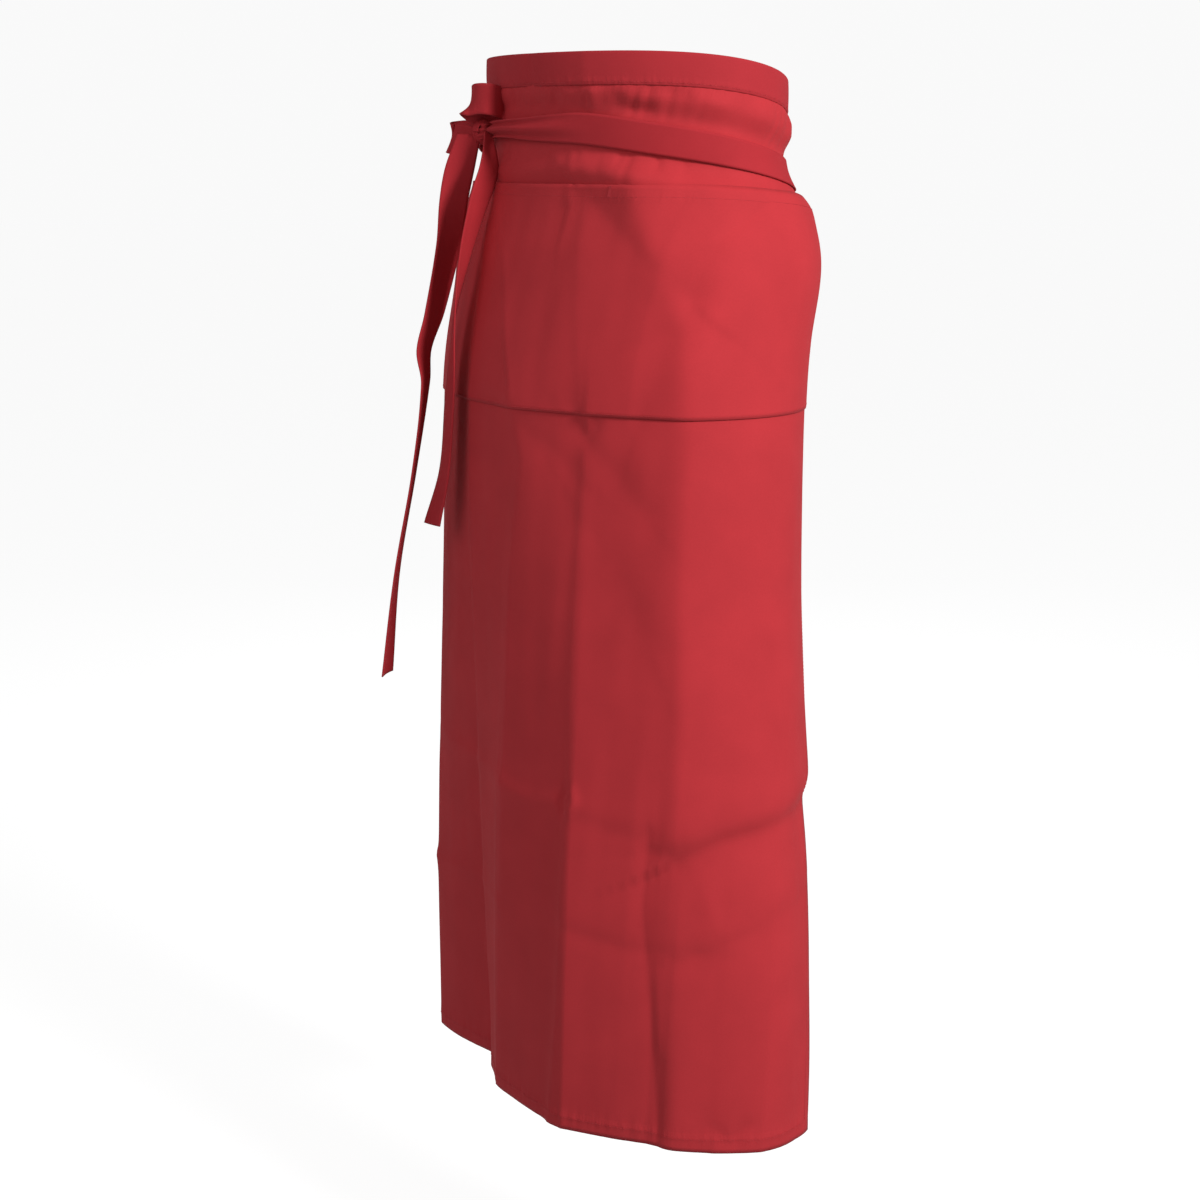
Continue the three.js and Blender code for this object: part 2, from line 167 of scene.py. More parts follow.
def body_point(share, level, off):
    """A place on the body's oval at a level below the band, and off outside it."""
    at = level / skirt_length
    flat = ring["flat"](at)
    swell = (1 - flat) / (1 + flat) / 2
    turn = share * 2 * np.pi
    for _ in range(oval_rounds):
        turn = share * 2 * np.pi - swell * np.sin(2 * turn)
    wide = girth_at(level) / np.pi / (1 + flat)
    deep = wide * flat
    out_x, out_y = np.sin(turn) / wide, -np.cos(turn) / deep
    out = np.hypot(out_x, out_y)
    behind = (1 - np.cos(turn)) / 2
    lean = hip_lean * ring["lean"](at)
    x = wide * np.sin(turn) + out_x / out * off - lean
    y = seat_out * ring["seat"](at) - deep * np.cos(turn) + out_y / out * off - lean
    z = -band_height / 2 - level - back_drop * ring["tilt"](at) * behind**2
    return np.stack(np.broadcast_arrays(x, y, z), axis=-1)


def tie_level(share):
    """The level of the tapes' middle at a share of the way round, where 0 is the front."""
    gap_share = back_gap / 2 / waist_girth
    way = np.maximum((0.5 - np.abs(share) - gap_share) / (0.5 - gap_share), 0)
    return tie_drop * tie_drop_along(way) - band_height / 2


def cinch_at(share):
    """How deep the tapes press the cloth in, which is nothing beside the open back."""
    return cinch_depth * smooth(0.5 - np.abs(share), 0.06, 0.14)


def fold_place(fold, level):
    """Where a fold's crest lies across the flat cloth."""
    opened = smooth(level / skirt_length, folds_from, 1)
    return half_width * (fold["top"] + (fold["foot"] - fold["top"]) * opened)


def fold_height(across, level):
    """How far the long folds lift the cloth. They open below the hip."""
    opened = smooth(level / skirt_length, folds_from, 1)
    height = 0
    for fold in folds:
        beside = (across - fold_place(fold, level)) / half_width
        reach = np.where(beside < 0, fold["right"], fold["left"])
        flank = np.maximum(0, 1 - np.abs(beside) / reach)
        height = height + fold_depth * fold["depth"] * flank * opened ** fold["grow"]
    return height


# Pressed creases and drape marks on the flat cloth: points as shares of the half width and of the
# skirt's length, then how far the line stands out in metres, and how wide it falls off on its two
# sides: towards the wearer's left hand or above it, and towards the right hand or below it.
marks = {
    "right_press": (
        [(-0.1, 0.1), (-0.078, 0.289), (-0.052, 0.62), (-0.03, 0.677), (-0.068, 0.88), (0.0, 1.0)],
        0.0012, 0.009, 0.003),
    "pocket_press": ([(-0.105, 0.09), (0.016, 0.178), (0.103, 0.287)], 0.0008, 0.005, 0.003),
    "front_press": (
        [(0.103, 0.287), (0.154, 0.346), (0.132, 0.46), (0.132, 0.584), (0.13, 0.66),
         (0.127, 0.9), (0.135, 1.0)],
        0.0042, 0.04, 0.012),
    "left_press_top": ([(0.195, 0.09), (0.311, 0.294)], 0.0006, 0.012, 0.004),
    "left_press": (
        [(0.311, 0.294), (0.318, 0.34), (0.327, 0.46), (0.338, 0.566), (0.354, 0.648)],
        0.0014, 0.016, 0.004),
    "left_press_foot": (
        [(0.349, 0.68), (0.357, 0.711), (0.359, 0.892), (0.343, 1.0)],
        0.0026, 0.018, 0.0035),
    "pocket_crease": ([(0.43, 0.12), (0.412, 0.3)], 0.0005, 0.006, 0.004),
    "far_press": (
        [(0.545, 0.685), (0.543, 0.758), (0.573, 0.847), (0.616, 0.985)],
        -0.0015, 0.004, 0.006),
    "far_press_edge": ([(0.575, 0.70), (0.577, 0.80), (0.61, 0.9)], 0.0008, 0.008, 0.004),
    "pinch_pocket": ([(0.298, 0.299), (0.316, 0.318), (0.338, 0.305)], -0.0022, 0.004, 0.005),
    "pocket_diagonal": ([(0.318, 0.32), (0.40, 0.352), (0.47, 0.385)], -0.0018, 0.012, 0.020),
    "front_diagonal": ([(0.108, 0.305), (0.19, 0.322), (0.30, 0.352)], -0.00144, 0.010, 0.018),
    "hip_diagonal": ([(0.34, 0.40), (0.42, 0.44), (0.49, 0.50)], -0.00156, 0.018, 0.028),
    "knee_right": ([(-0.3, 0.655), (-0.06, 0.662), (0.13, 0.66)], 0.0014, 0.004, 0.008),
    "knee_front": ([(0.13, 0.668), (0.24, 0.672), (0.33, 0.666)], 0.0020, 0.005, 0.010),
    "pinch_knee_a": ([(0.354, 0.646), (0.331, 0.663), (0.349, 0.682)], -0.0028, 0.003, 0.003),
    "pinch_knee_b": ([(0.356, 0.646), (0.375, 0.664), (0.352, 0.682)], 0.0024, 0.003, 0.003),
    "knee_left": ([(0.372, 0.679), (0.524, 0.692), (0.611, 0.712)], -0.0012, 0.006, 0.016),
    "knee_far": ([(0.611, 0.712), (0.703, 0.691), (1.0, 0.672)], -0.0050, 0.009, 0.030),
    "knee_far_edge": ([(0.64, 0.688), (0.75, 0.672), (1.0, 0.655)], 0.0018, 0.016, 0.008),
    "shin_left": ([(0.385, 0.792), (0.53, 0.803), (0.668, 0.801)], -0.00132, 0.005, 0.015),
    "shin_far": ([(0.668, 0.801), (0.74, 0.792), (0.87, 0.768)], -0.00156, 0.007, 0.020),
    "shin_right": ([(-0.3, 0.80), (0.12, 0.792)], 0.0010, 0.004, 0.008),
    "thigh_far": ([(0.66, 0.73), (0.72, 0.78)], 0.0014, 0.010, 0.010),
    "pocket_drape": ([(0.20, 0.098), (0.34, 0.14), (0.497, 0.19)], -0.0034, 0.012, 0.026),
    "pocket_tug": ([(0.611, 0.095), (0.53, 0.129)], -0.0018, 0.008, 0.005),
    "pocket_fall": ([(0.50, 0.19), (0.44, 0.30)], -0.0022, 0.014, 0.020),
    "swag": ([(0.032, 0.054), (0.078, 0.077), (0.105, 0.084), (0.168, 0.084)], -0.0009, 0.003, 0.006),
    "swag_far": ([(0.20, 0.066), (0.235, 0.082)], -0.0006, 0.005, 0.006),
    "yoke_fold": ([(0.205, 0.0), (0.25, 0.018), (0.31, 0.022)], -0.0014, 0.004, 0.006),
    "yoke_ridge": ([(0.16, 0.004), (0.20, 0.025), (0.25, 0.032)], 0.0008, 0.006, 0.006),
    "yoke_far": ([(0.31, 0.0), (0.37, 0.008), (0.43, 0.016)], -0.0012, 0.004, 0.005),
    "yoke_furrow_a": ([(-0.09, 0.0), (-0.085, 0.055)], -0.001, 0.002, 0.003),
    "yoke_furrow_b": ([(0.02, 0.0), (0.025, 0.03)], -0.0008, 0.003, 0.003),
    "yoke_furrow_c": ([(0.065, 0.0), (0.07, 0.045)], -0.0008, 0.003, 0.003),
    "yoke_furrow_d": ([(0.135, 0.0), (0.15, 0.012), (0.148, 0.05)], -0.0016, 0.003, 0.003),
    "yoke_turn": ([(0.148, 0.0), (0.150, 0.05), (0.158, 0.10)], 0.0020, 0.020, 0.004),
    "yoke_furrow_e": ([(0.30, 0.0), (0.31, 0.02)], -0.0012, 0.003, 0.003),
    "tape_gather_a": ([(-0.06, 0.045), (-0.065, 0.09)], 0.0008, 0.005, 0.003),
    "tape_gather_b": ([(0.162, 0.045), (0.168, 0.088)], -0.0008, 0.004, 0.005),
    "tape_gather_c": ([(0.215, 0.048), (0.222, 0.075)], -0.0006, 0.003, 0.003),
    "tape_gather_d": ([(0.275, 0.048), (0.292, 0.085)], -0.001, 0.003, 0.004),
    "tape_gather_e": ([(0.345, 0.05), (0.352, 0.074)], -0.0008, 0.003, 0.004),
    "tape_gather_f": ([(0.40, 0.052), (0.43, 0.08)], -0.0008, 0.005, 0.005),
    "yoke_edge": ([(0.64, 0.014), (0.60, 0.05)], 0.0016, 0.004, 0.018),
    "hem_pucker": ([(0.735, 0.976), (0.768, 0.990), (0.805, 0.974)], -0.0016, 0.004, 0.004),
    "back_press": ([(-0.56, 0.02), (-0.56, 0.5), (-0.55, 1.0)], 0.0012, 0.004, 0.010),
    "back_press_far": ([(-0.80, 0.25), (-0.80, 1.0)], -0.0012, 0.006, 0.006),
    "knee_back": ([(-1.0, 0.66), (-0.7, 0.668), (-0.3, 0.655)], -0.0016, 0.006, 0.012),
    "shin_back": ([(-1.0, 0.80), (-0.3, 0.80)], 0.0012, 0.005, 0.010),
    "thigh_back": ([(-1.0, 0.50), (-0.35, 0.53)], -0.0010, 0.010, 0.010),
}
# how far off a mark ends, in widths of its flank, and how rounded its crest is
mark_end, mark_crown = 9.0, 0.6


def line_steps(points, across, level):
    """For each step of a drawn line: how far the flat places lie from it, and on which side."""
    for (a0, l0), (a1, l1) in zip(points, points[1:]):
        start = np.array((a0 * half_width, l0 * skirt_length))
        step = np.array((a1 * half_width, l1 * skirt_length)) - start
        beside, below = across - start[0], level - start[1]
        way = np.clip((beside * step[0] + below * step[1]) / step.dot(step), 0, 1)
        gone = np.hypot(beside - way * step[0], below - way * step[1])
        yield gone, step[0] * below - step[1] * beside


def mark_height(across, level):
    """How far the pressed lines and drape marks lift the cloth at each flat place."""
    height = np.zeros_like(across)
    for points, lift, fall_left, fall_right in marks.values():
        near = np.full_like(across, mark_end)
        for gone, side in line_steps(points, across, level):
            near = np.minimum(near, gone / np.where(side < 0, fall_left, fall_right))
        height += lift * np.exp(-near * near / (mark_crown + near))
    return height


# Where the cloth turns from the front of the body to its left side it makes one long soft edge,
# and a lower one runs down the pressed crease in front. The cloth also puffs out at the right hip.
turn_line = [(0.27, 0.0), (0.31, 0.09), (0.395, 0.146), (0.505, 0.216), (0.535, 0.306), (0.555, 0.465),
             (0.58, 0.558), (0.61, 0.733), (0.635, 0.935), (0.64, 1.0)]
fold_line = [(-0.105, 0.09), (0.016, 0.178), (0.103, 0.287), (0.154, 0.346), (0.132, 0.46), (0.13, 0.66),
             (0.127, 0.9), (0.135, 1.0)]
# the lines, how far each stands out, how wide it spreads and how rounded it is, in metres
turns = [(turn_line, 0.0125, 0.046, 0.006), (fold_line, 0.0018, 0.030, 0.002)]
hip_puff, hip_puff_place, hip_puff_level = 0.012, -0.31, 0.100
hip_puff_wide, hip_puff_tall = 0.26, 0.05


def turn_height(across, level):
    """How far the soft turns and the puff at the hip lift the cloth."""
    beside = (across / half_width - hip_puff_place) / hip_puff_wide
    height = hip_puff * np.exp(-beside**2 - ((level - hip_puff_level) / hip_puff_tall) ** 2)
    for line, lift, spread, edge in turns:
        nearest = np.minimum.reduce([gone for gone, _ in line_steps(line, across, level)])
        height += lift * np.exp(-(np.hypot(nearest, edge) - edge) / spread)
    return height


# The gathers: the panel is eased into the band, and the tied tapes bunch it again. Each furrow
# draws its shift in spacings, then its depth, spread, drift and reach below the tape in metres.
gather_count = 56
gather_seed = 11
gather_least = (-0.4, 0.0003, 0.0018, -0.004, 0.006)
gather_most = (0.4, 0.0017, 0.0042, 0.004, 0.026)
gather_drop = 0.05


def gather_height(across, level, share):
    """Short upright furrows from the band's seam down past the tapes."""
    draw = np.random.default_rng(gather_seed)
    under_tape = level - tie_level(share) - tape_width / 2
    height = np.zeros_like(across)
    for number in range(gather_count):
        shift, depth, spread, drift, reach = draw.uniform(gather_least, gather_most)
        place = panel_width * ((number + 0.5 + shift) / gather_count - 0.5) + drift * level / gather_drop
        strength = smooth(level, -0.001, 0.005) * (1 - smooth(under_tape, 0.002, 0.002 + reach))
        height -= depth * strength * np.exp(-(((across - place) / spread) ** 2))
    return height


# The cloth is never quite flat: broad soft hollows, and finer ones that run down it. Their depth
# in metres, how many there are to the metre across and down, and which slice of the noise.
wavers = [(0.0016, 14, 7, 3.1), (0.0005, 60, 11, 8.4)]


def waver_height(across, level):
    """How far the hollows lift or sink the cloth."""
    height = np.zeros(across.size)
    for depth, each_way, down_way, piece in wavers:
        places = (Vector((a * each_way, l * down_way, piece)) for a, l in zip(across.flat, level.flat))
        height += depth * np.array([noise.noise(place) for place in places])
    return height.reshape(across.shape)


# The stitches draw the cloth up a little along the hem, in ripples of uneven length.
hem_pucker, hem_pucker_fade = 0.00035, 0.006
hem_ripples, hem_drifts, hem_drift = 640, 75, 2.5


def hem_pucker_height(across, level):
    """How far the cloth ripples along the hem's stitches."""
    near = np.exp(-np.abs(level - hem_top) / hem_pucker_fade)
    return hem_pucker * near * np.sin(across * hem_ripples + hem_drift * np.sin(across * hem_drifts))


# Between the band and the tapes the cloth puffs out, and the tapes dent it.
puff_rise, puff_fall, puff_foot = 0.012, 0.022, 0.002
cinch_lip = 0.003


def puff_height_at(across, share, level):
    """How far the cloth puffs out above the tapes."""
    tape_top = tie_level(share) - tape_width / 2 - rest_gap
    crown = smooth(level, 0, puff_rise) * (1 - smooth(level, tape_top - puff_fall, tape_top - puff_foot))
    return puff_height * crown * (0.6 + 0.4 * np.cos(across / panel_width * puff_count * 2 * np.pi))


def dent_at(share, level):
    """How far the tapes press the cloth in, and the cloth beside them."""
    near = np.abs(level - tie_level(share)) - tape_width / 2 - rest_gap
    return cinch_at(share) * (1 - smooth(near, cinch_lip, cinch_lip + cinch_fade))


# Right beside a tape the cloth lies smooth. Inside the band it is let in, and below it stands out.
smooth_by_tape, marked_by_tape = 0.012, 0.019
level_by_tape, turned_by_tape = 0.013, 0.034
let_in, stood_out = 0.0006, 0.0005


def cloth_off(across, level, share):
    """How far the panel's middle stands off the body's oval."""
    off = fold_height(across, level) + puff_height_at(across, share, level) - dent_at(share, level)
    fine = mark_height(across, level) + waver_height(across, level) + hem_pucker_height(across, level)
    beside_tape = smooth(np.abs(level - tie_level(share)), smooth_by_tape, marked_by_tape)
    held = smooth(level, -0.001, 0.004)
    off = off + stood_out * (1 - smooth(level, 0.004, 0.02)) * smooth(level, 0.0, 0.003)
    off = off - let_in * (1 - smooth(level, -0.001, 0.0015))
    clear_of_tape = smooth(level - tie_level(share), level_by_tape, turned_by_tape)
    off = off + (fine + gather_height(across, level, share)) * beside_tape * held
    return off + turn_height(across, level) * clear_of_tape


def hang(across, level):
    """Where a place on the flat panel hangs."""
    at = level / skirt_length
    share = (across * ring["take"](at) - hem_swing * ring["swing"](at)) / girth_at(level)
    return body_point(share, level, cloth_off(across, level, share))


def even(start, stop, size):
    """Even steps of about a size, without the last place."""
    return list(np.linspace(start, stop, max(1, round((stop - start) / size)) + 1))[:-1]


# The rows are close where the cloth is gathered, and wide where the pocket hides it.
cell = 0.0028
panel_top = -0.006
yoke_row, hidden_row, skirt_row, hem_row = 0.0031, 0.012, 0.0048, 0.004
levels = np.array(
    even(panel_top, pocket_drop, yoke_row) + even(pocket_drop, pocket_foot, hidden_row)
    + even(pocket_foot, hem_top, skirt_row) + even(hem_top, skirt_length, hem_row) + [skirt_length]
)


def columns_at(level):
    """The flat places of the columns at a level: even steps between the creases."""
    edges = sorted(
        [(side_hem - half_width,) * 2, (half_width - side_hem,) * 2]
        + [(float(fold_place(fold, 0)), float(fold_place(fold, level))) for fold in folds]
    )
    places = [-half_width, side_hem / 2 - half_width]
    for (from_rest, start), (to_rest, stop) in zip(edges, edges[1:]):
        count = max(1, round((to_rest - from_rest) / cell))
        places += list(np.linspace(start, stop, count + 1))[:-1]
    return places + [half_width - side_hem, half_width - side_hem / 2, half_width]


def hung_grid(name, across, level, places, seams=None):
    """A mesh grid hung at the given places, with the flat cut as its UV map. Rows run down."""
    rows, columns = across.shape
    cut = bmesh.new()
    bmesh.ops.create_grid(cut, x_segments=columns - 1, y_segments=rows - 1, size=0.5)
    flat = cut.loops.layers.uv.new("flat_cut")
    for vert in cut.verts:
        column = round((vert.co.x + 0.5) * (columns - 1))
        row = round((0.5 - vert.co.y) * (rows - 1))
        vert.co = (column, row, 0)
    for face in cut.faces:
        face.smooth = True
        for loop in face.loops:
            column, row = round(loop.vert.co.x), round(loop.vert.co.y)
            loop[flat].uv = (across[row, column], -level[row, column])
    seam = cut.verts.layers.float.new("seam")
    for vert in cut.verts:
        row, column = round(vert.co.y), round(vert.co.x)
        vert[seam] = 0.0 if seams is None else float(seams[row, column])
        vert.co = places[row, column]
    mesh = bpy.data.meshes.new(name)
    cut.to_mesh(mesh)
    cut.free()
    piece = bpy.data.objects.new(name, mesh)
    bpy.context.scene.collection.objects.link(piece)
    return piece


def thicken(piece, wall):
    """The cloth's wall, half on each side of the mesh."""
    solid = piece.modifiers.new("wall", "SOLIDIFY")
    solid.thickness = wall
    solid.offset = 0
    solid.use_even_offset = False


# How strongly each line of stitches draws the cloth up, and how soon that fades beside it.
panel_across = np.array([columns_at(level) for level in levels])
panel_level = np.repeat(levels[:, None], panel_across.shape[1], axis=1)
by_hem = np.exp(-np.abs(panel_level - hem_top) / 0.004)
by_side = np.exp(-np.abs(np.abs(panel_across) - half_width + side_hem) / 0.003)
by_band = 0.8 * np.exp(-np.abs(panel_level) / 0.008)
by_foot = 0.25 * np.exp(-np.abs(panel_level - pocket_foot) / 0.006)
panel_seams = np.maximum.reduce([by_hem, by_side, by_band, by_foot])
panel = hung_grid("panel_cloth", panel_across, panel_level, hang(panel_across, panel_level), panel_seams)
thicken(panel, cloth_wall)


ribs_to_the_unit = 3.2


def twill(name, colour, weave=0.0007, bump=0.35):
    """Red twill: a diagonal weave on the flat cut, slight mottle, matt with a soft sheen."""
    material = bpy.data.materials.new(name)
    material.use_nodes = True
    nodes, links = material.node_tree.nodes, material.node_tree.links
    surface = nodes["Principled BSDF"]
    surface.inputs["Roughness"].default_value = 0.78
    surface.inputs["Specular IOR Level"].default_value = 0.08
    surface.inputs["Sheen Weight"].default_value = 0.02
    surface.inputs["Sheen Roughness"].default_value = 0.45
    flat = nodes.new("ShaderNodeUVMap")
    flat.uv_map = "flat_cut"
    turn = nodes.new("ShaderNodeMapping")
    turn.inputs["Rotation"].default_value = (0, 0, math.radians(28))
    links.new(flat.outputs["UV"], turn.inputs["Vector"])
    ribs = nodes.new("ShaderNodeTexWave")
    ribs.inputs["Scale"].default_value = 1 / weave / ribs_to_the_unit
    ribs.inputs["Distortion"].default_value = 0.6
    ribs.inputs["Detail"].default_value = 1
    links.new(turn.outputs["Vector"], ribs.inputs["Vector"])
    place = nodes.new("ShaderNodeTexCoord")
    mottle = nodes.new("ShaderNodeTexNoise")
    mottle.inputs["Scale"].default_value = 26
    mottle.inputs["Detail"].default_value = 6
    links.new(place.outputs["Object"], mottle.inputs["Vector"])
    slub = nodes.new("ShaderNodeTexNoise")
    slub.inputs["Scale"].default_value = 620
    slub.inputs["Detail"].default_value = 2
    links.new(flat.outputs["UV"], slub.inputs["Vector"])
    shades = nodes.new("ShaderNodeValToRGB")
    shades.color_ramp.elements[0].position = 0.3
    shades.color_ramp.elements[0].color = (*[channel * 0.93 for channel in colour], 1)
    shades.color_ramp.elements[1].position = 0.7
    shades.color_ramp.elements[1].color = (*[channel * 1.06 for channel in colour], 1)
    blend = nodes.new("ShaderNodeMath")
    blend.operation = "MULTIPLY_ADD"
    blend.inputs[1].default_value = 0.35
    links.new(slub.outputs["Fac"], blend.inputs[0])
    spread = nodes.new("ShaderNodeMath")
    spread.operation = "MULTIPLY"
    spread.inputs[1].default_value = 0.65
    links.new(mottle.outputs["Fac"], spread.inputs[0])
    links.new(spread.outputs["Value"], blend.inputs[2])
    links.new(blend.outputs["Value"], shades.inputs["Fac"])
    links.new(shades.outputs["Color"], surface.inputs["Base Color"])
    relief = nodes.new("ShaderNodeMath")
    relief.operation = "MULTIPLY_ADD"
    relief.inputs[1].default_value = 0.6
    links.new(slub.outputs["Fac"], relief.inputs[0])
    links.new(ribs.outputs["Fac"], relief.inputs[2])
    raised = nodes.new("ShaderNodeBump")
    raised.inputs["Strength"].default_value = bump
    raised.inputs["Distance"].default_value = 0.00012
    links.new(relief.outputs["Value"], raised.inputs["Height"])
    stretch = nodes.new("ShaderNodeMapping")
    stretch.inputs["Scale"].default_value = (210, 60, 1)
    links.new(flat.outputs["UV"], stretch.inputs["Vector"])
    draws = nodes.new("ShaderNodeTexNoise")
    draws.inputs["Scale"].default_value = 1
    draws.inputs["Detail"].default_value = 2
    links.new(stretch.outputs["Vector"], draws.inputs["Vector"])
    seam = nodes.new("ShaderNodeAttribute")
    seam.attribute_name = "seam"
    drawn = nodes.new("ShaderNodeMath")
    drawn.operation = "MULTIPLY"
    links.new(draws.outputs["Fac"], drawn.inputs[0])
    links.new(seam.outputs["Fac"], drawn.inputs[1])
    puckered = nodes.new("ShaderNodeBump")
    puckered.inputs["Strength"].default_value = 0.7
    puckered.inputs["Distance"].default_value = 0.0016
    links.new(drawn.outputs["Value"], puckered.inputs["Height"])
    links.new(raised.outputs["Normal"], puckered.inputs["Normal"])
    links.new(puckered.outputs["Normal"], surface.inputs["Normal"])
    return material


panel_red = (0.50, 0.034, 0.042)
panel_twill = twill("panel_twill", panel_red)
panel.data.materials.append(panel_twill)
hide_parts("skirt_panel")
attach(panel, "root")

# The hems: the panel's edge turned in once more along its foot and its two sides, a second layer
# of the same twill on the inside that a row of lockstitch holds down.
turn_off = -(cloth_wall + 0.0002)
turn_wall = 0.0008
turn_back = 0.0004


def inner_strip(name, across, level):
    """A strip of cloth on the panel's inner face."""
    rows = hang(across, level)
    side = np.gradient(rows, axis=1)
    down = np.gradient(rows, axis=0)
    normal = np.cross(down, side)
    normal /= np.linalg.norm(normal, axis=-1, keepdims=True)
    strip = hung_grid(name, across, level, rows + normal * turn_off)
    thicken(strip, turn_wall)
    strip.data.materials.append(panel_twill)
    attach(strip, "root")
    return strip


foot_levels = np.linspace(hem_top, skirt_length - turn_back, 5)
foot_across = np.array([columns_at(level)[1:-1] for level in foot_levels])
foot_level = np.repeat(foot_levels[:, None], foot_across.shape[1], axis=1)
hem_turns = [inner_strip("hem_turn_foot", foot_across, foot_level)]
side_levels = levels[levels < hem_top - 0.001]
for hand, name in ((-1, "hem_turn_right"), (1, "hem_turn_left")):
    edges = np.sort(np.linspace(half_width - side_hem, half_width - turn_back, 4) * hand)
    side_across = np.repeat(edges[None, :], len(side_levels), axis=0)
    side_level = np.repeat(side_levels[:, None], len(edges), axis=1)
    hem_turns.append(inner_strip(name, side_across, side_level))

# The waistband: a strip of the same twill folded over the panel's gathered top edge and stitched
# through, so it is four layers thick and stands up stiff round the waist.
band_rows, band_columns = 9, 240
band_arc, band_level = np.meshgrid(np.linspace(-half_width, half_width, band_columns),
                                   np.linspace(-band_height, 0, band_rows))
band_body = band_wall - 0.0008
band_stitch, band_stitch_fade, band_draw = -0.003, 0.003, 0.9
pucker_depth, pucker_height, band_ripples, band_drifts, band_drift = 0.00025, 0.008, 700, 90, 2
belly_depth = 0.0004
dimple_depth, dimple_place, dimple_width = 0.0012, -0.004, 0.008
front_turn_lift, front_turn_place, front_turn_edge, front_turn_spread = 0.0011, 0.055, 0.002, 0.012
ripple = np.sin(band_arc * band_ripples + band_drift * np.sin(band_arc * band_drifts))
pucker = pucker_depth * smooth(band_level, -pucker_height, 0) * ripple
belly = belly_depth * np.cos((band_level + band_height / 2) / band_height * np.pi)
dimple = -dimple_depth * np.exp(-(((band_arc - dimple_place) / dimple_width) ** 2))
front_edge = np.hypot(band_arc - front_turn_place, front_turn_edge)
front_turn = front_turn_lift * np.exp(-front_edge / front_turn_spread)
band_places = body_point(band_arc / waist_girth, band_level, pucker + belly + dimple + front_turn)
band_seam = band_draw * np.exp(-np.abs(band_level - band_stitch) / band_stitch_fade)
band = hung_grid("waistband_cloth", band_arc, band_level, band_places, band_seam)
thicken(band, band_body)
rounding = band.modifiers.new("fold_edges", "BEVEL")
rounding.width = 0.0009
rounding.segments = 3
rounding.limit_method = "ANGLE"
band_red = (0.42, 0.028, 0.036)
band_twill = twill("band_twill", band_red)
band.data.materials.append(band_twill)
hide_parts("waistband")
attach(band, "root")

# The pocket: a band of twill across the whole front, hemmed along its mouth and stitched to the
# panel along its foot and just inside the panel's side hems.
pocket_row = 0.0038
pocket_wall = cloth_wall - 0.0002
pocket_levels = np.array(even(pocket_drop, pocket_foot, pocket_row) + [pocket_foot])
pocket_across = np.array([columns_at(level)[2:-2] for level in pocket_levels])
pocket_level = np.repeat(pocket_levels[:, None], pocket_across.shape[1], axis=1)
pocket_rest = cloth_wall + 0.0003
mouth_hem = 0.010


def off_panel(across, level, off):
    """A place that lies off the panel along its own normal."""
    step = 0.0015
    side = hang(across + step, level) - hang(across - step, level)
    down = hang(across, level + step) - hang(across, level - step)
    normal = np.cross(down, side)
    normal /= np.linalg.norm(normal, axis=-1, keepdims=True)
    return hang(across, level) + normal * np.asarray(off)[..., None]


# The mouth stands open a little, more in some places than in others, and closes at the sides. Its
# stitches draw the cloth up most at the front left.
mouth_open, mouth_open_drop, mouth_closing = 0.0022, 0.05, 0.03
mouth_waves, mouth_wave_start = 26, 1.0
open_here = 1 - smooth(pocket_level, pocket_drop, pocket_drop + mouth_open_drop)
uneven = 0.4 + 0.6 * np.sin(pocket_across * mouth_waves + mouth_wave_start) ** 2
closed_by_side = smooth(half_width - side_hem - np.abs(pocket_across), 0, mouth_closing)
mouth_gape = mouth_open * open_here * uneven * closed_by_side
pocket_places = off_panel(pocket_across, pocket_level, pocket_rest + mouth_gape)
draw_place, draw_width, draw_fade = 0.32, 0.14, 0.004
mouth_draw = 0.25 + 0.6 * np.exp(-(((pocket_across / half_width - draw_place) / draw_width) ** 2))
by_mouth = mouth_draw * np.exp(-np.abs(pocket_level - pocket_drop - mouth_hem) / draw_fade)
by_pocket_foot = 0.4 * np.exp(-np.abs(pocket_level - pocket_foot) / draw_fade)
pocket_seam = np.maximum(by_mouth, by_pocket_foot)
pocket = hung_grid("pocket_cloth", pocket_across, pocket_level, pocket_places, pocket_seam)
thicken(pocket, pocket_wall)
pocket.data.materials.append(panel_twill)
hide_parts("pocket_panel")
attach(pocket, "root")

# The tapes: twill tape 25 mm wide, lapped and sewn on the two ends of the waistband. They cross
# over the open back, pass round the body below the band and press the cloth in.
tape_lap = 0.025
knot_side = 0.068
knot_width, knot_depth = 0.030, 0.020
tie_crossing = 1.3
gather_run = 0.120
gather_width = 0.5
knot_share = -knot_side / waist_girth
knot_out = cloth_wall / 2 + rest_gap + knot_depth / 2
knot_middle = body_point(knot_share, tie_level(knot_share), knot_out - cinch_at(knot_share))
tape_rest = cloth_wall / 2 + rest_gap + tape_wall / 2
tape_on_band = band_wall / 2 + 0.0003 + tape_wall / 2
tape_on_tape = tape_on_band + 2 * rest_gap
tape_body = tape_wall - 0.0004
tie_edges = 13
tape_red = (0.42, 0.026, 0.034)
tape_twill = twill("tape_twill", tape_red, weave=0.0006, bump=0.45)
lap_steps, gap_steps, round_steps = 10, 40, 260
crumple_arch, crumple_waves, crumple_tilt = 0.0030, 4.5, 0.0015


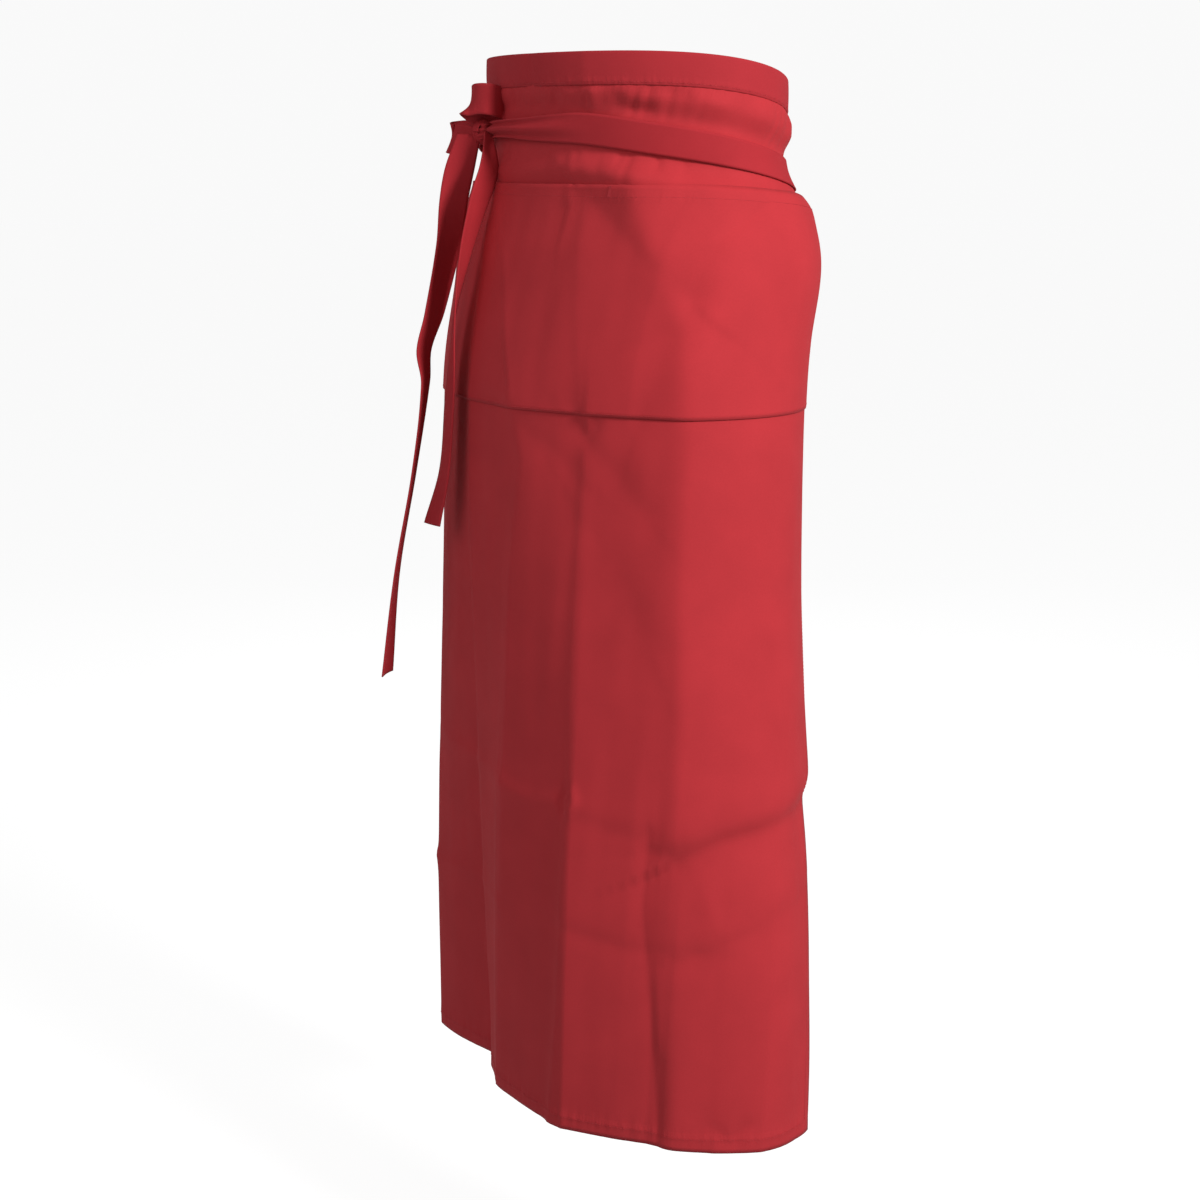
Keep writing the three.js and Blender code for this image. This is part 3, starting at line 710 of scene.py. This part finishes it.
def make_tie(name, node, hand, crossing):
    """One tape from its lap on a band end to the knot. hand is 1 for the left band end's."""
    gap_share = back_gap / waist_girth
    start = half_width / waist_girth
    knot_edge = (knot_width / 2 - 0.0003) / girth_at(tie_level(knot_share))
    finish = 1 + hand * knot_share - knot_edge
    shares = np.concatenate([
        np.linspace((half_width - tape_lap) / waist_girth, start, lap_steps)[:-1],
        np.linspace(start, start + gap_share, gap_steps)[:-1],
        np.linspace(start + gap_share, finish, round_steps),
    ])
    passed = shares > start + gap_share
    across_gap = np.clip((shares - start) / gap_share, 0, 1)
    near_knot = smooth(shares, finish - gather_run / waist_girth, finish)
    around = (shares + 0.5) % 1 - 0.5
    over_gap = 0.5 * tie_drop * across_gap**tie_crossing - band_height / 2
    middle = np.where(passed, tie_level(around), over_gap)
    on_gap = tape_on_band + (crossing - tape_on_band) * smooth(across_gap, 0.02, 0.14)
    off = on_gap + (tape_rest - on_gap) * smooth(across_gap, 0.86, 1) + (knot_out - tape_rest) * near_knot
    off = off - np.where(passed, cinch_at(around), 0)
    half = tape_width / 2 * (1 - (1 - gather_width) * near_knot)
    order = slice(None, None, -1) if hand < 0 else slice(None)
    edge = np.linspace(-1, 1, tie_edges)[:, None]
    crumple = near_knot * (crumple_arch * np.cos(edge * crumple_waves) - crumple_tilt * edge)
    level = middle + edge * half
    places = body_point(hand * shares, level, off + crumple)
    along = np.broadcast_to(hand * shares * waist_girth, level.shape)
    flat_level = np.broadcast_to(edge * tape_width / 2, level.shape)
    tape = hung_grid(name, along[:, order], flat_level[:, order], places[:, order])
    thicken(tape, tape_body)
    tape.data.materials.append(tape_twill)
    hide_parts(node)
    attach(tape, "root")


make_tie("tape_left", "tie_left", 1, tape_wall / 2)
make_tie("tape_right", "tie_right", -1, tape_on_tape)

# The bow: the same tape tied once and drawn into two loops, with two free ends that hang down
# the front and have curled and twisted as tape does that comes out of a packet.
tape_edges = 11
cup_middle = 0.33


def tape_piece(name, node, middles, widths, halves, cup):
    """A length of tape along given middles, with its width's way, half width and cup at each."""
    normal = np.cross(np.gradient(middles, axis=0), widths)
    normal /= np.linalg.norm(normal, axis=-1, keepdims=True)
    edge = np.linspace(-1, 1, tape_edges)
    lift = cup[:, None] * (edge**2 - cup_middle)
    flat_places = middles[:, None] + widths[:, None] * (edge * halves[:, None])[..., None]
    places = flat_places + normal[:, None] * lift[..., None]
    run = np.concatenate([[0], np.cumsum(np.linalg.norm(np.diff(middles, axis=0), axis=1))])
    across = np.broadcast_to(edge * tape_width / 2, lift.shape)
    level = np.broadcast_to(run[:, None], lift.shape)
    piece = hung_grid(name, across, level, places)
    thicken(piece, tape_body)
    piece.data.materials.append(tape_twill)
    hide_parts(node)
    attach(piece, "root")


# along each loop, in millimetres from the knot: left, front and up, then the way the tape's width
# points, the same three, and the share of its full width
top_loop_rows = [
    (-1.0, 2.0, 8.0, 0.6, -0.5, 0.6, 0.5),
    (-3.5, 8.8, 17.0, 0.5, -0.4, 0.7, 0.8),
    (0.2, 13.8, 23.0, 0.3, -0.2, 0.92, 1.0),
    (10.6, 15.4, 26.0, 0.15, -0.1, 0.97, 1.0),
    (20.5, 11.4, 26.0, 0.0, -0.12, 0.99, 1.0),
    (22.1, 1.6, 24.0, 0.02, -0.05, 1.0, 1.0),
    (18.8, -8.4, 20.0, 0.05, 0.0, 1.0, 1.0),
    (10.6, -8.0, 14.0, -0.2, 0.2, 0.95, 0.8),
    (3.0, -1.3, 8.0, -0.3, 0.3, 0.9, 0.5),
]
side_loop_rows = [
    (-5.0, 1.5, 0.5, 0.1, -0.1, 1.0, 0.5),
    (-18.0, 2.5, -1.0, 0.15, -0.15, 1.0, 0.85),
    (-28.5, 6.5, -3.5, 0.2, -0.2, 0.95, 1.0),
    (-29.5, 12.0, -5.5, 0.25, -0.2, 0.95, 1.0),
    (-23.5, 12.5, -5.5, 0.2, -0.2, 0.95, 1.0),
    (-13.5, 9.0, -4.0, 0.1, -0.1, 1.0, 0.85),
    (-3.0, 6.0, -2.5, 0.0, 0.0, 1.0, 0.5),
]
loop_steps = 90
loop_cup = 0.0010


def make_loop(name, node, rows):
    """A loop of tape along its rows, from the knot and back to it."""
    ways = np.linspace(0, 1, loop_steps)
    row_ways = np.linspace(0, 1, len(rows))
    left, front, up, *aims, wide = [line_through(row_ways, column)(ways) for column in zip(*rows)]
    middles = np.stack([left, -front, up], axis=-1) / 1000 + knot_middle
    aim = np.stack([aims[0], -aims[1], aims[2]], axis=-1)
    along = np.gradient(middles, axis=0)
    along /= np.linalg.norm(along, axis=-1, keepdims=True)
    aim = aim - along * (aim * along).sum(axis=-1, keepdims=True)
    aim /= np.linalg.norm(aim, axis=-1, keepdims=True)
    tape_piece(name, node, middles, aim, tape_width / 2 * wide, loop_cup * wide)


make_loop("bow_loop_top", "bow_loop_upper", top_loop_rows)
make_loop("bow_loop_side", "bow_loop_lower", side_loop_rows)

# way, left, front and down are shares of the end's length, from the knot's middle; heading: where
# the width points, in degrees from +X; wide: share of the tape's width
end_columns = ("way", "left", "front", "down", "heading", "wide")
long_end_rows = [
    (0.0, -0.014, 0.0226, 0.0043, 52, 0.8),
    (0.0617, -0.024, 0.0366, 0.0624, 60, 1.0),
    (0.1166, -0.034, 0.0437, 0.118, 70, 1.0),
    (0.196, -0.042, 0.0516, 0.198, 88, 1.0),
    (0.319, -0.0555, 0.0772, 0.3229, 104, 1.0),
    (0.385, -0.0695, 0.0922, 0.3899, 116, 1.0),
    (0.4446, -0.0725, 0.0882, 0.4499, 129, 1.0),
    (0.6116, -0.0965, 0.1012, 0.6189, 137, 1.0),
    (0.8053, -0.1295, 0.1222, 0.8149, 135, 1.0),
    (1.0, -0.1565, 0.1302, 1.0119, 124, 1.0),
]
short_end_rows = [
    (0.0, 0.038, 0.016, 0.0, 100, 0.3),
    (0.05, 0.05, 0.021, 0.049, 96, 0.6),
    (0.09, 0.056, 0.028, 0.089, 96, 0.85),
    (0.13, 0.054, 0.04, 0.129, 98, 1.0),
    (0.18, 0.047, 0.056, 0.177, 103, 1.0),
    (0.3, 0.0288, 0.0868, 0.3048, 120, 1.0),
    (0.465, 0.0038, 0.1068, 0.4718, 144, 1.0),
    (0.66, -0.0132, 0.1138, 0.6708, 160, 1.0),
    (0.856, -0.0342, 0.1198, 0.8688, 162, 1.0),
    (1.0, -0.0692, 0.1368, 1.0148, 176, 1.0),
]
long_end, short_end = 0.465, 0.326
end_steps = 170
end_cup = 0.0012


def make_end(name, node, rows, length):
    """A free end along its rows, scaled to its length."""
    lines = {
        key: line_through([row[0] for row in rows], [row[column] for row in rows])
        for column, key in enumerate(end_columns)
    }
    ways = np.linspace(0, 1, end_steps)
    middles = np.stack([lines["left"](ways), -lines["front"](ways), -lines["down"](ways)], axis=-1) * length
    heading = np.radians(lines["heading"](ways))
    widths = np.stack([np.cos(heading), np.sin(heading), np.zeros_like(heading)], axis=-1)
    halves = tape_width / 2 * lines["wide"](ways)
    cup = end_cup * smooth(ways, 0.02, 0.2)
    tape_piece(name, node, middles + knot_middle, widths, halves, cup)


make_end("tape_end_long", "tie_end_long", long_end_rows, long_end)
make_end("tape_end_short", "tie_end_short", short_end_rows, short_end)

# The knot itself: the tape's last turns, crumpled into pleats and drawn tight round the roots of
# the loops and the ends.
wrap_steps, wrap_edges = 72, 31
wrap_crown = 0.30
pleat_depth = 0.0010
wrap_wall = tape_wall - 0.0006


def make_wrap(name, turn_to, round_by, reach_out, reach_round, drift, span, pleats):
    """One closed turn of pleated tape. turn_to and round_by are the two ways that it goes round."""
    turn_to, round_by = Vector(turn_to).normalized(), Vector(round_by).normalized()
    axis = turn_to.cross(round_by)
    ways = np.linspace(0, 1, wrap_steps)[:, None, None]
    edge = np.linspace(-1, 1, wrap_edges)[None, :, None]
    crown = 1 - wrap_crown * edge**2
    pleat = pleat_depth * np.sin(edge * pleats * np.pi + 3 * np.sin(ways * 2 * np.pi)) * (1 - 0.5 * edge**2)
    out = reach_out * crown + pleat
    round_out = reach_round * crown + pleat
    places = (knot_middle + np.array(turn_to) * out * np.cos(ways * 2 * np.pi)
              + np.array(round_by) * round_out * np.sin(ways * 2 * np.pi)
              + np.array(axis) * (edge * span / 2 + drift * (ways - 0.5)))
    run = np.linalg.norm(np.diff(places[:, wrap_edges // 2], axis=0), axis=1).sum()
    flat_edge = edge[0, :, 0] * tape_width / 2
    level, across = np.meshgrid(np.linspace(0, run, wrap_steps), flat_edge, indexing="ij")
    wrap = hung_grid(name, across, level, places)
    thicken(wrap, wrap_wall)
    wrap.data.materials.append(tape_twill)
    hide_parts("bow_knot")
    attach(wrap, "root")


body_out = (-0.5, -0.86, 0)
make_wrap("bow_knot_tape", body_out, (0, 0, 1), 0.0085, 0.0095, 0.004, 0.017, 4.2)
make_wrap("bow_knot_under", body_out, (0.86, -0.5, 0.25), 0.0065, 0.0115, 0.001, 0.015, 3.6)

# The stitches: lockstitch in red polyester thread, three millimetres to the stitch, along the band's
# seam, the pocket's mouth, sides and foot and all the hems, with a bartack on the pocket's mouth.
stitch_pitch = 0.0030
stitch_length = 0.0021
bartack_length = 0.0022
thread_radius = 0.00020
thread_sides = 5
thread_lift = thread_radius * 0.4
thread_red = (0.50, 0.045, 0.055)
thread = twill("sewing_thread", thread_red, weave=0.0004, bump=0.2)


def stitch_line(name, points, ways, length=stitch_length):
    """A row of short stitches, each laid on the cloth at a point and turned along its way."""
    row = bmesh.new()
    for point, way in zip(points, ways):
        turned = Vector(way).to_track_quat("Z", "Y").to_matrix().to_4x4()
        bmesh.ops.create_cone(
            row, cap_ends=True, segments=thread_sides, radius1=thread_radius, radius2=thread_radius,
            depth=length, matrix=Matrix.Translation(point) @ turned)
    mesh = bpy.data.meshes.new(name)
    row.to_mesh(mesh)
    row.free()
    stitches = bpy.data.objects.new(name, mesh)
    bpy.context.scene.collection.objects.link(stitches)
    stitches.data.materials.append(thread)
    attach(stitches, "root")


def stitch_cloth(name, from_place, to_place, off):
    """Stitches between two flat places, laid off the panel's face."""
    start, stop = np.array(from_place), np.array(to_place)
    count = round(np.linalg.norm(stop - start) / stitch_pitch)
    places = start + (stop - start) * ((np.arange(count) + 0.5) / count)[:, None]
    aside = (stop - start) / np.linalg.norm(stop - start) * stitch_length / 2
    ahead, behind = places + aside, places - aside
    ways = hang(ahead[:, 0], ahead[:, 1]) - hang(behind[:, 0], behind[:, 1])
    stitch_line(name, off_panel(places[:, 0], places[:, 1], off), ways)


on_panel = cloth_wall / 2 + thread_lift
on_pocket = pocket_rest + pocket_wall / 2 + thread_lift
hem_line = hem_top + 0.001
side_line = half_width - side_hem + 0.0012
side_start = 0.004
pocket_side = half_width - side_hem - 0.003
pocket_side_start = pocket_drop + 0.002
foot_line = pocket_foot - 0.002
stitch_cloth("stitches_hem", (-side_line, hem_line), (side_line, hem_line), on_panel)
stitch_cloth("stitches_side_right", (-side_line, side_start), (-side_line, hem_top), on_panel)
stitch_cloth("stitches_side_left", (side_line, side_start), (side_line, hem_top), on_panel)
stitch_cloth("stitches_pocket_foot", (-pocket_side, foot_line), (pocket_side, foot_line), on_pocket)
for hand, name in ((-1, "stitches_pocket_right"), (1, "stitches_pocket_left")):
    place = hand * pocket_side
    stitch_cloth(name, (place, pocket_side_start), (place, foot_line), on_pocket)

band_line = -0.0025
band_line_end = half_width - 0.004
band_run = np.linspace(-band_line_end, band_line_end, round(panel_width / stitch_pitch))
band_points = body_point(band_run / waist_girth, np.full_like(band_run, band_line), band_wall / 2 - 0.0002)
stitch_line("stitches_band", band_points, np.gradient(band_points, axis=0))

mouth_run = np.linspace(-pocket_side, pocket_side, round(2 * pocket_side / stitch_pitch))
mouth_row = round(mouth_hem / pocket_row)
mouth_off = np.interp(mouth_run, pocket_across[0], mouth_gape[mouth_row]) + on_pocket
mouth_points = off_panel(mouth_run, np.full_like(mouth_run, pocket_drop + mouth_hem), mouth_off)
stitch_line("stitches_pocket_mouth", mouth_points, np.gradient(mouth_points, axis=0))

bartack_place, bartack_count = 0.099, 22
tack_levels = np.linspace(pocket_drop + 0.001, pocket_drop + mouth_hem, bartack_count)
tack_off = np.interp(bartack_place, pocket_across[0], mouth_gape[1]) + on_pocket
tack_points = off_panel(np.full_like(tack_levels, bartack_place), tack_levels, tack_off)
tack_way = body_point(0.12, 0.08, 0) - body_point(0.11, 0.08, 0)
stitch_line("stitches_bartack", tack_points, [tack_way] * bartack_count, length=bartack_length)

# The studio: a pale floor at the wearer's feet in a white room, with a large soft light high on the
# wearer's left, so that the front and right fall into shade, and two faint ones that soften that.
floor_level, floor_reach = -1.08, 30
floor_form = bmesh.new()
bmesh.ops.create_circle(floor_form, cap_ends=True, segments=96, radius=floor_reach,
                        matrix=Matrix.Translation((0, 0, floor_level)))
floor_mesh = bpy.data.meshes.new("floor")
floor_form.to_mesh(floor_mesh)
floor_form.free()
floor = bpy.data.objects.new("floor", floor_mesh)
bpy.context.scene.collection.objects.link(floor)
floor_paint = bpy.data.materials.new("floor_paint")
floor_paint.use_nodes = True
floor_surface = floor_paint.node_tree.nodes["Principled BSDF"]
floor_surface.inputs["Base Color"].default_value = (0.3, 0.3, 0.3, 1)
floor_surface.inputs["Roughness"].default_value = 0.9
floor_surface.inputs["Specular IOR Level"].default_value = 0.1
floor_surface.inputs["Emission Color"].default_value = (1, 1, 1, 1)
floor_surface.inputs["Emission Strength"].default_value = 0.86
floor.data.materials.append(floor_paint)
floor.visible_diffuse = False


def soft_light(name, place, aim, size, power):
    """A round soft light, turned to its aim."""
    data = bpy.data.lights.new(name, "AREA")
    data.shape = "DISK"
    data.size = size
    data.energy = power
    light = bpy.data.objects.new(name, data)
    light.location = place
    light.rotation_euler = (Vector(aim) - Vector(place)).to_track_quat("-Z", "Y").to_euler()
    bpy.context.scene.collection.objects.link(light)


soft_light("key_light", (2.38, 0.12, 0.95), (0, 0, -0.25), 0.7, 67)
soft_light("front_light", (0.1, -1.5, 0.5), (0, 0, -0.15), 1.2, 5.6)
soft_light("back_fill", (-1.9, 1.6, 0.6), (0, 0, -0.4), 1.6, 7)
world = bpy.data.worlds.new("white_room")
world.use_nodes = True
room = world.node_tree
room.nodes["Background"].inputs["Color"].default_value = (1, 1, 1, 1)
room.nodes["Background"].inputs["Strength"].default_value = 0.27
seen = room.nodes.new("ShaderNodeBackground")
seen.inputs["Color"].default_value = (1, 1, 1, 1)
seen.inputs["Strength"].default_value = 0.95
path = room.nodes.new("ShaderNodeLightPath")
either = room.nodes.new("ShaderNodeMixShader")
room.links.new(path.outputs["Is Camera Ray"], either.inputs["Fac"])
room.links.new(room.nodes["Background"].outputs["Background"], either.inputs[1])
room.links.new(seen.outputs["Background"], either.inputs[2])
room.links.new(either.outputs["Shader"], room.nodes["World Output"].inputs["Surface"])
bpy.context.scene.world = world
bpy.context.scene.view_settings.view_transform = "Standard"
